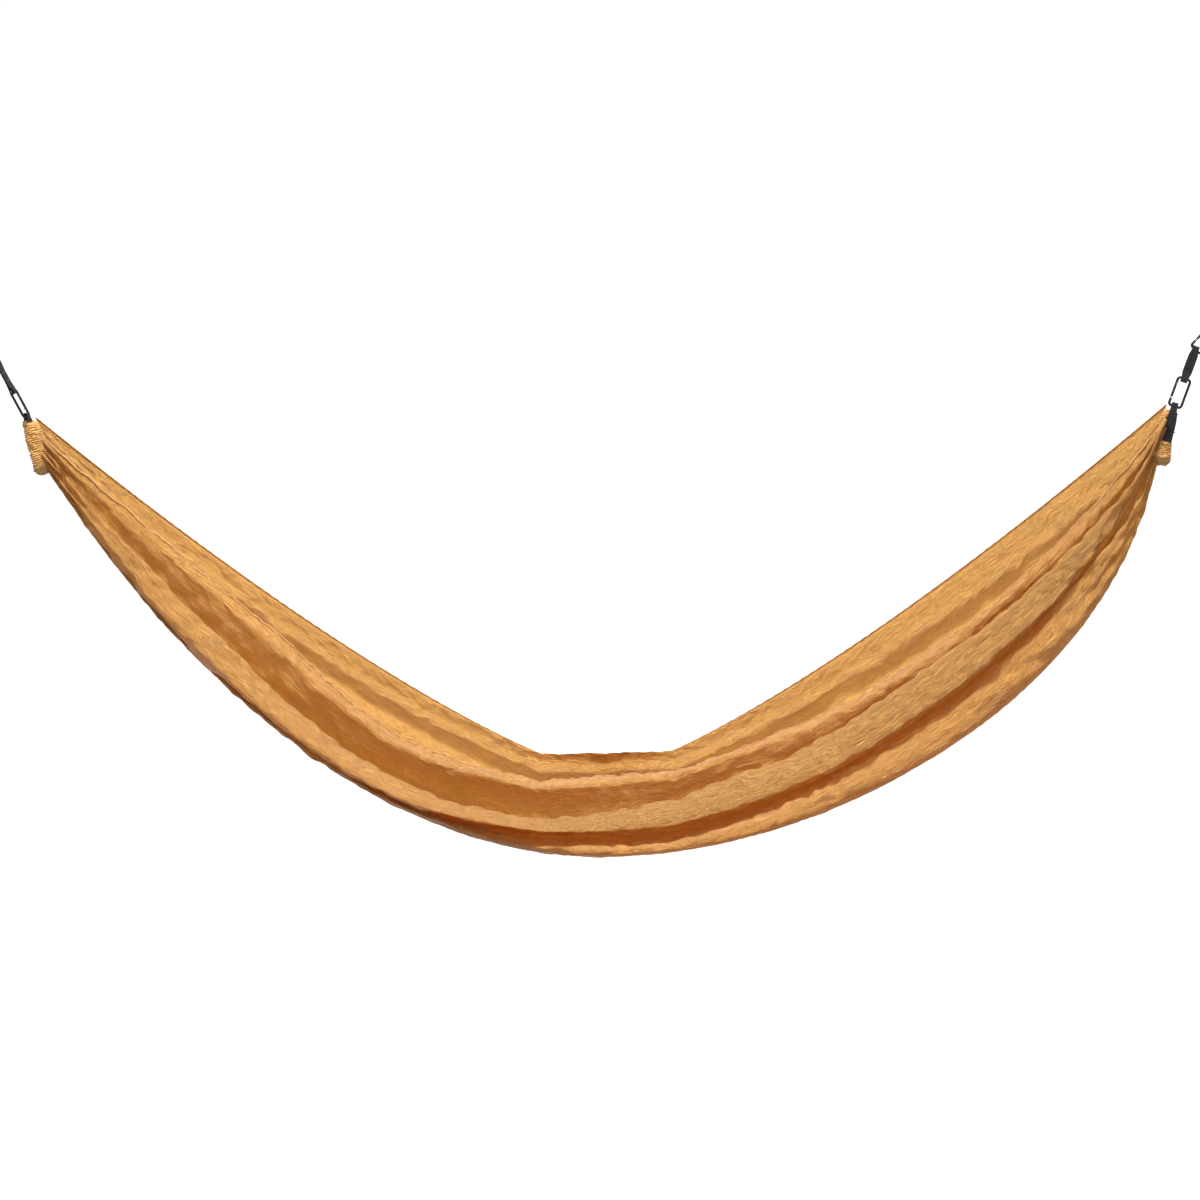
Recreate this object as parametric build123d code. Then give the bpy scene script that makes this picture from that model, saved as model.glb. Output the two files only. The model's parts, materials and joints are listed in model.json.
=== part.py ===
from build123d import *
import math
import os

os.makedirs("parts", exist_ok=True)

# A gathered-end camping hammock, hanging empty between its two hooking points.
# Millimetres. +X runs from the left hooking point to the right one, +Z is up,
# and the origin is the left hooking point, the top inner bend of the left anchor carabiner.

# ---- driving dimensions ----------------------------------------------------------------
SPAN = 2330.0  # between the two hooking points
ANCHOR_TILT = 46.0  # slope of an anchor carabiner, degrees above level
STRAP_TILT = {"left": 63.0, "right": 70.0}  # slope of the strap and the lower carabiner
SLING_TILT = 75.6  # slope of the sling inside the cloth's end channel
ROLL = {"left": 72.0, "right": 8.0}  # turn of each chain about its own length, degrees

ROD = 5.0  # carabiner rod diameter
INNER_WIDTH = 19.0  # clear width inside a carabiner
INNER_LENGTH = 50.0  # clear length inside a carabiner
CORNER = 5.0  # bend radius of the rod's centre line
GATE_LENGTH = 30.0  # from the hinge pin to the gate's free end
HINGE_HEIGHT = -13.0  # hinge pin, measured along the carabiner from its centre
TONGUE = 1.8  # thickness of the tongues at the nose and at the hinge
SLOT_GAP = 0.3  # clearance beside a tongue and past the gate's ends
HINGE_PIN = 1.5  # hinge pin diameter
PIN_GAP = 0.05  # clearance round the hinge pin
RIVET_HEAD = 3.0  # rivet head diameter
RIVET_THICKNESS = 0.4
LATCH_PIN = 1.2  # cross pin that hooks into the nose
LATCH_DEPTH = 2.5  # latch pin below the gate's free end
NOSE_HOOK = 5.0  # length of the nose tongue
BORE = 3.0  # spring bore inside the gate
SPRING_LENGTH = 8.0
SPRING_WIRE = 0.4
SPRING_PITCH = 1.2
PUSHER_LENGTH = 3.0

WEB_THICKNESS = 1.8
STRAP_WIDTH = 18.0
STRAP_LENGTH = 58.0  # between the two rods that the strap joins
WEB_END_WIDTH = 12.5  # webbing squeezed narrower where it lies on a rod
EYE_SLACK = 0.5  # between an eye and the rod inside it
EYE_RADIUS = ROD / 2 + EYE_SLACK
EYE_STRAIGHT = 2.6  # half the straight part of an eye, room for a tilted rod
EYE_NECK = 17.0  # where an eye closes, measured from its rod
BARTACK_LENGTH = 3.0
BARTACK_HEIGHT = 0.4
BARTACK_MARGIN = 1.5  # webbing left bare beside a bartack

SLING_WIDTH = 20.0
SLING_LENGTH = 108.0  # from the rod to the bottom of the loop
SLING_RADIUS = 15.0  # half the loop's spread at the bottom
TWIST_END = 28.0  # the sling has turned level with the channel by here
BARTACK_DEPTHS = (40.0, 52.0)  # the rows of stitches that close the sling

CHANNEL_WALL = 1.2  # gathered cloth of the end channel
CHANNEL_GAP = 0.8  # between the channel and the webbing in it
CHANNEL_START = {  # where the cloth begins on the near and the far leg
    "left": {"near": 30.0, "far": 30.0},
    "right": {"near": 72.0, "far": 30.0},
}

BED_WALL = 4.0  # envelope of the folded cloth
BED_HALF_WIDTH = 290.0  # at the middle
RIM_DEPTH = 790.0  # rim below the hooking points' level, at the middle, from the rods
KEEL_DEPTH = 950.0  # lowest line below the same level
RIM_POWER = 1.35  # how sharply the rim rises to the ends
KEEL_POWER = 2.0
RIM_ROUNDING = 0.16  # share of the half length over which the rim's lowest point is rounded
HEM_HEIGHT = 6.0

SIDES = {"left": 1, "right": -1}
ACROSS = Vector(0, 1, 0)


# ---- directions and chain points -------------------------------------------------------
def slope(side, degrees):
    """Unit vector that rises outwards, away from the hammock's middle."""
    angle = math.radians(degrees)
    return Vector(-SIDES[side] * math.cos(angle), 0, math.sin(angle))


def level_normal(side, degrees):
    """Unit vector in the XZ plane at right angles to slope, pointing inwards."""
    angle = math.radians(degrees)
    return Vector(SIDES[side] * math.sin(angle), 0, math.cos(angle))


def rod_direction(side, degrees):
    """Direction of a carabiner's two short sides."""
    roll = math.radians(ROLL[side])
    return level_normal(side, degrees) * math.cos(roll) + ACROSS * math.sin(roll)


def hook_point(side):
    return Vector(0 if side == "left" else SPAN, 0, 0)


def strap_top(side):
    """Middle of the anchor carabiner's lower rod."""
    return hook_point(side) - slope(side, ANCHOR_TILT) * (INNER_LENGTH + ROD / 2)


def strap_bottom(side):
    """Middle of the lower carabiner's upper rod."""
    return strap_top(side) - slope(side, STRAP_TILT[side]) * STRAP_LENGTH


def sling_top(side):
    """Middle of the lower carabiner's lower rod."""
    return strap_bottom(side) - slope(side, STRAP_TILT[side]) * (INNER_LENGTH + ROD)


def chain_plane(side, degrees, origin):
    """Local X along the rod, local Y outwards along the chain."""
    along_rod = rod_direction(side, degrees)
    return Plane(origin=origin, x_dir=along_rod, z_dir=along_rod.cross(slope(side, degrees)))


# ---- carabiner -------------------------------------------------------------------------
HALF_WIDTH = (INNER_WIDTH + ROD) / 2
HALF_LENGTH = (INNER_LENGTH + ROD) / 2
GATE_TOP = HINGE_HEIGHT + GATE_LENGTH
NOSE_SHOULDER = GATE_TOP + SLOT_GAP
HINGE_SHOULDER = HINGE_HEIGHT - ROD / 2 - SLOT_GAP
TONGUE_RADIUS = ROD / 2 - 0.5
LATCH_HEIGHT = GATE_TOP - LATCH_DEPTH
BORE_START = HINGE_HEIGHT + TONGUE_RADIUS + SLOT_GAP


def upright(radius, low, high):
    """Cylinder along the gate's line, from low to high."""
    middle = Location((HALF_WIDTH, (low + high) / 2, 0), (90, 0, 0))
    return middle * Cylinder(radius, high - low)


def cross_pin(diameter, height, length):
    """Cylinder through the gate's line, at right angles to the carabiner."""
    return Location((HALF_WIDTH, height, 0)) * Cylinder(diameter / 2, length)


def carabiner_body():
    """Bent rod with a hooked tongue at the nose and a drilled tongue at the hinge."""
    path = FilletPolyline(
        (HALF_WIDTH, NOSE_SHOULDER),
        (HALF_WIDTH, HALF_LENGTH),
        (-HALF_WIDTH, HALF_LENGTH),
        (-HALF_WIDTH, -HALF_LENGTH),
        (HALF_WIDTH, -HALF_LENGTH),
        (HALF_WIDTH, HINGE_SHOULDER),
        radius=CORNER,
    )
    rod = sweep(Plane(origin=path @ 0, z_dir=path % 0) * Circle(ROD / 2), path=path)
    nose = upright(ROD / 2, GATE_TOP - NOSE_HOOK, NOSE_SHOULDER)
    nose &= Location((HALF_WIDTH, GATE_TOP, 0)) * Box(ROD, 4 * NOSE_HOOK, TONGUE)
    notch_height = LATCH_PIN + 2 * SLOT_GAP
    notch_width = ROD / 2 + LATCH_PIN / 2 + SLOT_GAP
    notch_middle = HALF_WIDTH - ROD / 2 + notch_width / 2
    nose -= Location((notch_middle, LATCH_HEIGHT, 0)) * Box(notch_width, notch_height, ROD)
    hinge = upright(TONGUE_RADIUS, HINGE_SHOULDER, HINGE_HEIGHT)
    hinge += cross_pin(2 * TONGUE_RADIUS, HINGE_HEIGHT, ROD)
    hinge &= Location((HALF_WIDTH, HINGE_HEIGHT, 0)) * Box(ROD, 2 * ROD, TONGUE)
    hinge -= cross_pin(HINGE_PIN + 2 * PIN_GAP, HINGE_HEIGHT, ROD)
    return rod + nose + hinge


def carabiner_gate():
    """Round gate, forked at both ends, drilled for its spring and its two pins."""
    gate = upright(ROD / 2, HINGE_HEIGHT - ROD / 2, GATE_TOP)
    outline = Location((HALF_WIDTH, HINGE_HEIGHT + GATE_LENGTH / 2, 0)) * Box(ROD, GATE_LENGTH, ROD)
    gate &= outline + cross_pin(ROD, HINGE_HEIGHT, ROD)
    fork = TONGUE + 2 * SLOT_GAP
    lower = BORE_START - HINGE_SHOULDER
    gate -= Location((HALF_WIDTH, HINGE_SHOULDER + lower / 2, 0)) * Box(ROD, lower, fork)
    upper = NOSE_HOOK + 1 + SLOT_GAP
    gate -= Location((HALF_WIDTH, NOSE_SHOULDER - upper / 2, 0)) * Box(ROD, upper, fork)
    gate -= upright(BORE / 2, BORE_START, BORE_START + PUSHER_LENGTH + SPRING_LENGTH)
    gate -= cross_pin(HINGE_PIN + 2 * PIN_GAP, HINGE_HEIGHT, ROD)
    gate -= cross_pin(LATCH_PIN, LATCH_HEIGHT, ROD)
    return gate


def hinge_rivet():
    """Pin through the hinge with a low head each side."""
    rivet = cross_pin(HINGE_PIN, HINGE_HEIGHT, ROD)
    for face in (-1, 1):
        place = Location((0, 0, face * (ROD + RIVET_THICKNESS) / 2))
        rivet += place * cross_pin(RIVET_HEAD, HINGE_HEIGHT, RIVET_THICKNESS)
    return rivet


def gate_spring():
    """Compression spring in the gate's bore, between its blind end and the pusher."""
    radius = BORE / 2 - SPRING_WIRE
    height = SPRING_LENGTH - SPRING_WIRE
    coil = Helix(SPRING_PITCH, height, radius)
    wire = sweep(Plane(origin=coil @ 0, z_dir=coil % 0) * Circle(SPRING_WIRE / 2), path=coil)
    low = BORE_START + PUSHER_LENGTH + SPRING_WIRE / 2
    return Location((HALF_WIDTH, low, 0), (-90, 0, 0)) * wire


def gate_pusher():
    """Stepped plunger that the spring presses on the hinge tongue."""
    head = upright(BORE / 2 - PIN_GAP, BORE_START, BORE_START + PUSHER_LENGTH - PIN_GAP)
    nose = upright(TONGUE / 2, BORE_START - SLOT_GAP + PIN_GAP, BORE_START)
    return head + nose


def carabiner(prefix, plane):
    """Every piece of one carabiner, placed in its chain."""
    pieces = {
        "body": carabiner_body(),
        "gate": carabiner_gate(),
        "hinge_rivet": hinge_rivet(),
        "latch_pin": cross_pin(LATCH_PIN, LATCH_HEIGHT, ROD - 2 * PIN_GAP),
        "gate_spring": gate_spring(),
        "gate_pusher": gate_pusher(),
    }
    return {f"{prefix}_{name}": plane.location * piece for name, piece in pieces.items()}


# ---- strap with a sewn eye at each end -------------------------------------------------
def eye(radius, neck_radius, direction):
    """Teardrop round a rod at the local origin, closing towards direction."""
    with BuildSketch() as sketch:
        with Locations((0, EYE_STRAIGHT), (0, -EYE_STRAIGHT)):
            Circle(radius)
        with Locations((0, direction * EYE_NECK)):
            Circle(neck_radius)
        make_hull()
    return sketch.sketch


def strap_profile():
    """Side view of the strap: two eyes and the two layers sewn together between them."""
    lower = Location((0, -STRAP_LENGTH))
    outer = EYE_RADIUS + WEB_THICKNESS
    profile = eye(outer, WEB_THICKNESS, -1) + lower * eye(outer, WEB_THICKNESS, 1)
    sewn = STRAP_LENGTH - 2 * EYE_NECK
    profile += Location((0, -STRAP_LENGTH / 2)) * Rectangle(2 * WEB_THICKNESS, sewn)
    crease = WEB_THICKNESS / 6
    profile -= eye(EYE_RADIUS, crease, -1)
    profile -= lower * eye(EYE_RADIUS, crease, 1)
    return profile


def strap(plane):
    """The profile pulled to the webbing's width, squeezed narrower at both eyes."""
    side_view = Plane(origin=(-STRAP_WIDTH / 2, 0, 0), x_dir=(0, 0, -1), z_dir=(1, 0, 0))
    solid = extrude(side_view * strap_profile(), STRAP_WIDTH)
    half_end = WEB_END_WIDTH / 2
    half = STRAP_WIDTH / 2
    reach = EYE_RADIUS + EYE_STRAIGHT + WEB_THICKNESS + 1
    front_view = Polygon(
        (-half_end, reach),
        (-half_end, -EYE_STRAIGHT - EYE_RADIUS),
        (-half, -EYE_NECK),
        (-half, -STRAP_LENGTH + EYE_NECK),
        (-half_end, -STRAP_LENGTH + EYE_STRAIGHT + EYE_RADIUS),
        (-half_end, -STRAP_LENGTH - reach),
        (half_end, -STRAP_LENGTH - reach),
        (half_end, -STRAP_LENGTH + EYE_STRAIGHT + EYE_RADIUS),
        (half, -STRAP_LENGTH + EYE_NECK),
        (half, -EYE_NECK),
        (half_end, -EYE_STRAIGHT - EYE_RADIUS),
        (half_end, reach),
        align=None,
    )
    blank = extrude(front_view, 2 * reach, both=True)
    return plane.location * (solid & blank)


def strap_bartacks(plane):
    """A row of dense stitches across both faces beside each eye."""
    tacks = []
    length_step = EYE_NECK + BARTACK_LENGTH
    for height in (-length_step, -STRAP_LENGTH + length_step):
        for face in (-1, 1):
            out = face * (WEB_THICKNESS + BARTACK_HEIGHT / 2)
            block = Box(STRAP_WIDTH - 2 * BARTACK_MARGIN, BARTACK_LENGTH, BARTACK_HEIGHT)
            tacks.append(plane.location * Location((0, height, out)) * block)
    return Compound(children=tacks)


# ---- sling and the cloth channel on it -------------------------------------------------
SLING_EYE = EYE_RADIUS + WEB_THICKNESS / 2


def sling_gap(depth):
    """Half the distance between the two legs, at a depth below the rod."""
    start = EYE_STRAIGHT
    share = (depth - start) / (SLING_LENGTH - SLING_RADIUS - start)
    share = min(max(share, 0), 1)
    return SLING_EYE + (SLING_RADIUS - SLING_EYE) * share


def sling_station(side, leg, depth, gap, offset=0.0):
    """Centre, width direction, outward direction and width of the webbing at one depth."""
    eased = min(max((depth - EYE_STRAIGHT) / (TWIST_END - EYE_STRAIGHT), 0), 1)
    eased = eased * eased * (3 - 2 * eased)
    twist = math.radians(ROLL[side] * (1 - eased))
    inward = level_normal(side, SLING_TILT)
    width_direction = inward * math.cos(twist) + ACROSS * math.sin(twist)
    outward = ACROSS * math.cos(twist) - inward * math.sin(twist)
    width = WEB_END_WIDTH + (SLING_WIDTH - WEB_END_WIDTH) * eased
    centre = sling_top(side) - slope(side, SLING_TILT) * depth + outward * leg * (gap + offset)
    return centre, width_direction, outward * leg, width


def leg_stations(side, leg, start=None):
    """Stations of one leg, from the loop's top or from a depth, to the loop's bottom."""
    stations = []
    if start is None:
        for angle in (90, 60, 30, 0):
            turn = math.radians(angle)
            depth = -EYE_STRAIGHT - SLING_EYE * math.sin(turn)
            stations.append(sling_station(side, leg, depth, SLING_EYE * math.cos(turn)))
        depths = [EYE_STRAIGHT, 7, 12, 17, 22, TWIST_END, 60]
    else:
        depths = [start, (start + SLING_LENGTH - SLING_RADIUS) / 2]
    for depth in depths:
        stations.append(sling_station(side, leg, depth, sling_gap(depth)))
    for angle in (0, 15, 30, 45, 60, 75, 90):
        turn = math.radians(angle)
        depth = SLING_LENGTH - SLING_RADIUS + SLING_RADIUS * math.sin(turn)
        stations.append(sling_station(side, leg, depth, SLING_RADIUS * math.cos(turn)))
    return stations


def strip(stations, grow_width=0.0, grow_thickness=0.0, square_start=False):
    """Flat strip through the stations, ending square at the loop's bottom."""
    sections = []
    last = len(stations) - 1
    for number, (centre, width_direction, outward, width) in enumerate(stations):
        before = stations[max(number - 1, 0)][0]
        after = stations[min(number + 1, last)][0]
        tangent = (after - before).normalized()
        if number == last:
            tangent = outward * -1
        elif number == 0 and square_start:
            tangent = outward
        normal = tangent.cross(width_direction).normalized()
        half_width = width_direction * ((width + grow_width) / 2)
        half_thick = normal * ((WEB_THICKNESS + grow_thickness) / 2)
        corners = [
            centre + half_width + half_thick,
            centre - half_width + half_thick,
            centre - half_width - half_thick,
            centre + half_width - half_thick,
        ]
        sections.append(Wire.make_polygon(corners, close=True))
    return Solid.make_loft(sections, ruled=True)


def sling(side):
    """Closed webbing loop: over the carabiner's rod, down, and round inside the channel."""
    far, near = (strip(leg_stations(side, leg), square_start=True) for leg in (1, -1))
    return far + near


def sling_bartacks(side):
    """Two rows of stitches that close the loop, on the near leg's outer face."""
    tacks = []
    straight = SLING_LENGTH - SLING_RADIUS - EYE_STRAIGHT
    slant = math.atan2(SLING_RADIUS - SLING_EYE, straight)
    outside = (WEB_THICKNESS + BARTACK_HEIGHT) / 2 / math.cos(slant)
    for depth in BARTACK_DEPTHS:
        ends = []
        for height in (depth, depth + BARTACK_LENGTH):
            centre, width_direction, outward, width = sling_station(
                side, -1, height, sling_gap(height), outside
            )
            ends.append((centre, width_direction, outward, width - 2 * BARTACK_MARGIN))
        tangent = (ends[1][0] - ends[0][0]).normalized()
        normal = tangent.cross(ends[0][1]).normalized()
        plane = Plane(origin=(ends[0][0] + ends[1][0]) / 2, x_dir=ends[0][1], z_dir=normal)
        block = Box(ends[0][3], BARTACK_LENGTH, BARTACK_HEIGHT)
        tacks.append(plane.location * block)
    return Compound(children=tacks)


def channel(side):
    """Gathered cloth tube round the sling, open at the top of each leg."""
    inner = 2 * CHANNEL_GAP
    outer = inner + 2 * CHANNEL_WALL
    shell = None
    for name, leg in (("near", -1), ("far", 1)):
        stations = leg_stations(side, leg, CHANNEL_START[side][name])
        tube = strip(stations, outer, outer) - strip(stations, inner, inner)
        shell = tube if shell is None else shell + tube
    return shell


# ---- bed -------------------------------------------------------------------------------
BED_END_HALF_WIDTH = SLING_RADIUS + WEB_THICKNESS / 2 + CHANNEL_GAP + CHANNEL_WALL
BED_END_OFFSET = SLING_WIDTH / 2 + CHANNEL_GAP + CHANNEL_WALL
STATION_SHARES = (-1, -0.95, -0.88, -0.79, -0.68, -0.56, -0.44, -0.32, -0.21, -0.1)


def bed_end(side, depth):
    """Point on the channel's inner face, at a depth below the sling's rod."""
    along = sling_top(side) - slope(side, SLING_TILT) * depth
    return along + level_normal(side, SLING_TILT) * BED_END_OFFSET


def curve_point(share, depth, middle_depth, power):
    """Point of a long edge; share runs from -1 at the left end to 1 at the right end."""
    end = bed_end("left" if share < 0 else "right", depth)
    low = strap_top("left").Z - middle_depth
    x = SPAN / 2 + (end.X - SPAN / 2) * abs(share)
    flat = RIM_ROUNDING**power
    rise = (share**2 + RIM_ROUNDING**2) ** (power / 2) - flat
    full = (1 + RIM_ROUNDING**2) ** (power / 2) - flat
    return Vector(x, 0, low + (end.Z - low) * rise / full)


def rim_point(share):
    start = max(CHANNEL_START["left"].values())
    return curve_point(share, start, RIM_DEPTH, RIM_POWER)


def keel_point(share):
    bottom = SLING_LENGTH + WEB_THICKNESS / 2 + CHANNEL_GAP + CHANNEL_WALL
    return curve_point(share, bottom, KEEL_DEPTH, KEEL_POWER)


def half_width(share):
    spread = math.cos(math.pi / 2 * share)
    return BED_END_HALF_WIDTH + (BED_HALF_WIDTH - BED_END_HALF_WIDTH) * spread


def shares():
    return list(STATION_SHARES) + [0] + [-share for share in reversed(STATION_SHARES)]


def hanging_line(share, inset):
    """Half ellipse from the near rim under the bed to the far rim, set in by inset."""
    rim = rim_point(share)
    drop = keel_point(share) - rim
    drop = drop * ((drop.length - inset) / drop.length)
    width = half_width(share) - inset
    points = []
    for angle in range(0, 181, 20):
        turn = math.radians(angle)
        points.append(rim + drop * math.sin(turn) - ACROSS * (width * math.cos(turn)))
    return Edge.make_spline(points)


def bed():
    """Trough of cloth, open along its top, from channel to channel."""
    sections = []
    for share in shares():
        outer = hanging_line(share, 0)
        inner = hanging_line(share, BED_WALL)
        far = Edge.make_line(outer @ 1, inner @ 1)
        near = Edge.make_line(inner @ 0, outer @ 0)
        sections.append(Wire([outer, far, inner, near]))
    return Solid.make_loft(sections, ruled=True)


def hem(edge):
    """Rolled hem standing on one rim of the bed; edge is -1 near, 1 far."""
    sections = []
    for share in shares():
        rim = rim_point(share)
        up = (rim - keel_point(share)).normalized() * HEM_HEIGHT
        outer = rim + ACROSS * (edge * half_width(share))
        inner = rim + ACROSS * (edge * (half_width(share) - BED_WALL))
        corners = [outer, inner, inner + up, outer + up]
        sections.append(Wire.make_polygon(corners, close=True))
    return Solid.make_loft(sections, ruled=True)


# ---- assembly --------------------------------------------------------------------------
def anchor_middle(side):
    """Centre of the anchor carabiner."""
    return hook_point(side) - slope(side, ANCHOR_TILT) * (INNER_LENGTH / 2)


def lower_middle(side):
    """Centre of the lower carabiner."""
    return strap_bottom(side) - slope(side, STRAP_TILT[side]) * HALF_LENGTH


def end_chain(side):
    """Everything from one hooking point to the cloth's end channel."""
    strap_tilt = STRAP_TILT[side]
    strap_plane = chain_plane(side, strap_tilt, strap_top(side))
    nodes = carabiner(f"{side}_anchor", chain_plane(side, ANCHOR_TILT, anchor_middle(side)))
    nodes |= carabiner(f"{side}_lower", chain_plane(side, strap_tilt, lower_middle(side)))
    nodes[f"{side}_strap"] = strap(strap_plane)
    nodes[f"{side}_strap_bartacks"] = strap_bartacks(strap_plane)
    nodes[f"{side}_sling"] = sling(side)
    nodes[f"{side}_sling_bartacks"] = sling_bartacks(side)
    nodes[f"{side}_channel"] = channel(side)
    return nodes


nodes = end_chain("left") | end_chain("right")
nodes["bed_fabric"] = bed()
nodes["near_hem"] = hem(-1)
nodes["far_hem"] = hem(1)

for name, solid in nodes.items():
    export_step(solid, f"parts/{name}.step")

for side in SIDES:
    middles = {
        "anchor": (ANCHOR_TILT, anchor_middle(side)),
        "lower": (STRAP_TILT[side], lower_middle(side)),
    }
    for label, (degrees, middle) in middles.items():
        plane = chain_plane(side, degrees, middle)
        pin = plane.from_local_coords((HALF_WIDTH, HINGE_HEIGHT, 0))
        print(f"{side}_{label} gate hinge at {tuple(pin)} about {tuple(plane.z_dir)}")
    print(f"{side} rocking point {tuple(strap_top(side))}")
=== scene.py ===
# %% [markdown]
# A gathered-end camping hammock, hanging empty.
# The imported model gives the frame: where the two hooking points are, how the carabiners sit
# and which body each piece belongs to. This file adds what the eye sees: the thin nylon with
# its long folds, the ruched end channels, the woven webbing, the hems and the stitches.
# Everything is in metres, with +X from the left hooking point to the right one and +Z up.

# %% Load the frame
import json
import math

import bpy
import numpy as np
from mathutils import Matrix, Vector, noise


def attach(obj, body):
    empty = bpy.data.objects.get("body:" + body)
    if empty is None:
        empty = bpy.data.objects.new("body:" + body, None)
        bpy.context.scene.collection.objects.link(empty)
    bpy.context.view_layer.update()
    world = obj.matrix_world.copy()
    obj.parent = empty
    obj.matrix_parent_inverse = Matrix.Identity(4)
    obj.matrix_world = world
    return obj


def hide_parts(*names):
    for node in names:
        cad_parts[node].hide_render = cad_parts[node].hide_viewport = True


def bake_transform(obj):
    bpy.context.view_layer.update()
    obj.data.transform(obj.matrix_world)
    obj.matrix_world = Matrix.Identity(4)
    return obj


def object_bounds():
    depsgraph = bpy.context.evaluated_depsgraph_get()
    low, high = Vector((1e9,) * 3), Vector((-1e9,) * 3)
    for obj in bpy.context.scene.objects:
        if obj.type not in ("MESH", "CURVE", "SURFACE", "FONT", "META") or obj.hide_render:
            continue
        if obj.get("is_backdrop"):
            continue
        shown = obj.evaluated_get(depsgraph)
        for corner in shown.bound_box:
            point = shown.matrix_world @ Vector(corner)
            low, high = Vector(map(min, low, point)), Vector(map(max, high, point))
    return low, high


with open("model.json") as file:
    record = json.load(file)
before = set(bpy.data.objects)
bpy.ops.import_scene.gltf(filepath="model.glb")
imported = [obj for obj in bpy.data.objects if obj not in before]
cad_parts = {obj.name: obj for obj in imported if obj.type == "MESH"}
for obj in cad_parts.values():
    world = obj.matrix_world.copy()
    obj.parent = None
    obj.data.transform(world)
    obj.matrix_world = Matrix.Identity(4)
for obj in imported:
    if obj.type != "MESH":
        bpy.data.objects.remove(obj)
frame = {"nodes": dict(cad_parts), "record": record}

cad_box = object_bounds()

# %% [markdown]
# The hooking points come from the record's two mounts. Between a hooking point and the cloth
# runs a chain: anchor carabiner, webbing strap, lower carabiner, webbing sling. Each link has
# its own slope, and each chain has turned about its own length by a different amount, so that
# the left one shows its edge and the right one shows its face.

# %% Hooking points and chain sizes
mounts = {m["name"]: Vector(m["pos_m"]) for m in frame["record"]["mounts"]}
SPAN = mounts["right_anchor"].x
MIDDLE = SPAN / 2
SIDES = {"left": 1, "right": -1}
ANCHOR_TILT = 46.0
STRAP_TILT = {"left": 63.0, "right": 70.0}
SLING_TILT = 75.6
ROLL = {"left": 72.0, "right": 8.0}
ROD = 0.005
INNER_LENGTH = 0.050
STRAP_LENGTH = 0.058
SLING_LENGTH = 0.108
ACROSS = Vector((0, 1, 0))


def slope(side, degrees):
    """Unit vector that rises outwards, away from the hammock's middle."""
    angle = math.radians(degrees)
    return Vector((-SIDES[side] * math.cos(angle), 0, math.sin(angle)))


def inward(side, degrees):
    """Unit vector at right angles to slope, pointing towards the hammock's middle."""
    angle = math.radians(degrees)
    return Vector((SIDES[side] * math.sin(angle), 0, math.cos(angle)))


def strap_top(side):
    return mounts[f"{side}_anchor"] - slope(side, ANCHOR_TILT) * (INNER_LENGTH + ROD / 2)


def strap_bottom(side):
    return strap_top(side) - slope(side, STRAP_TILT[side]) * STRAP_LENGTH


def sling_top(side):
    return strap_bottom(side) - slope(side, STRAP_TILT[side]) * (INNER_LENGTH + ROD)


for side in SIDES:
    print(side, "sling hangs from", [round(v, 3) for v in sling_top(side)])

# %% [markdown]
# The camera stands well back, a little above the hammock's middle, with a long lens. It leans
# by less than a degree.

# %% Camera
VIEW_TILT = math.radians(7.0)
VIEW_LEAN = math.radians(-0.65)
VIEW_DISTANCE = 7.0
VIEW_WIDTH = 2.28
SENSOR = 36.0
view_centre = Vector((MIDDLE + 0.001, 0, -0.500))

camera_data = bpy.data.cameras.new("camera")
camera_data.sensor_width = SENSOR
camera_data.lens = SENSOR * VIEW_DISTANCE / VIEW_WIDTH
camera = bpy.data.objects.new("camera", camera_data)
bpy.context.scene.collection.objects.link(camera)
back = Vector((0, -math.cos(VIEW_TILT), math.sin(VIEW_TILT)))
turned = Matrix.Rotation(math.pi / 2 - VIEW_TILT, 4, "X") @ Matrix.Rotation(VIEW_LEAN, 4, "Z")
camera.matrix_world = Matrix.Translation(view_centre + back * VIEW_DISTANCE) @ turned
bpy.context.scene.camera = camera
print("lens", round(camera_data.lens, 1), "mm")

# %% [markdown]
# Shader maths reads best as Python expressions. Socket wraps one output of a node and turns
# the operators into Math nodes. Finish holds one material and makes every other node with a
# single method: settings first, then the values or links of its sockets.


# %% Shader helpers
class Socket:
    """An output socket that takes part in Python arithmetic."""

    def __init__(self, finish, socket):
        self.finish = finish
        self.socket = socket

    def math(self, operation, *values):
        return self.finish.node("Math", {"operation": operation}, dict(enumerate(values)))

    def __add__(self, other):
        return self.math("ADD", self, other)

    def __sub__(self, other):
        return self.math("SUBTRACT", self, other)

    def __rsub__(self, other):
        return self.math("SUBTRACT", other, self)

    def __mul__(self, other):
        return self.math("MULTIPLY", self, other)

    def __pow__(self, other):
        return self.math("POWER", self, other)

    def __abs__(self):
        return self.math("ABSOLUTE", self)

    def sine(self):
        return self.math("SINE", self)

    __radd__ = __add__
    __rmul__ = __mul__


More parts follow.
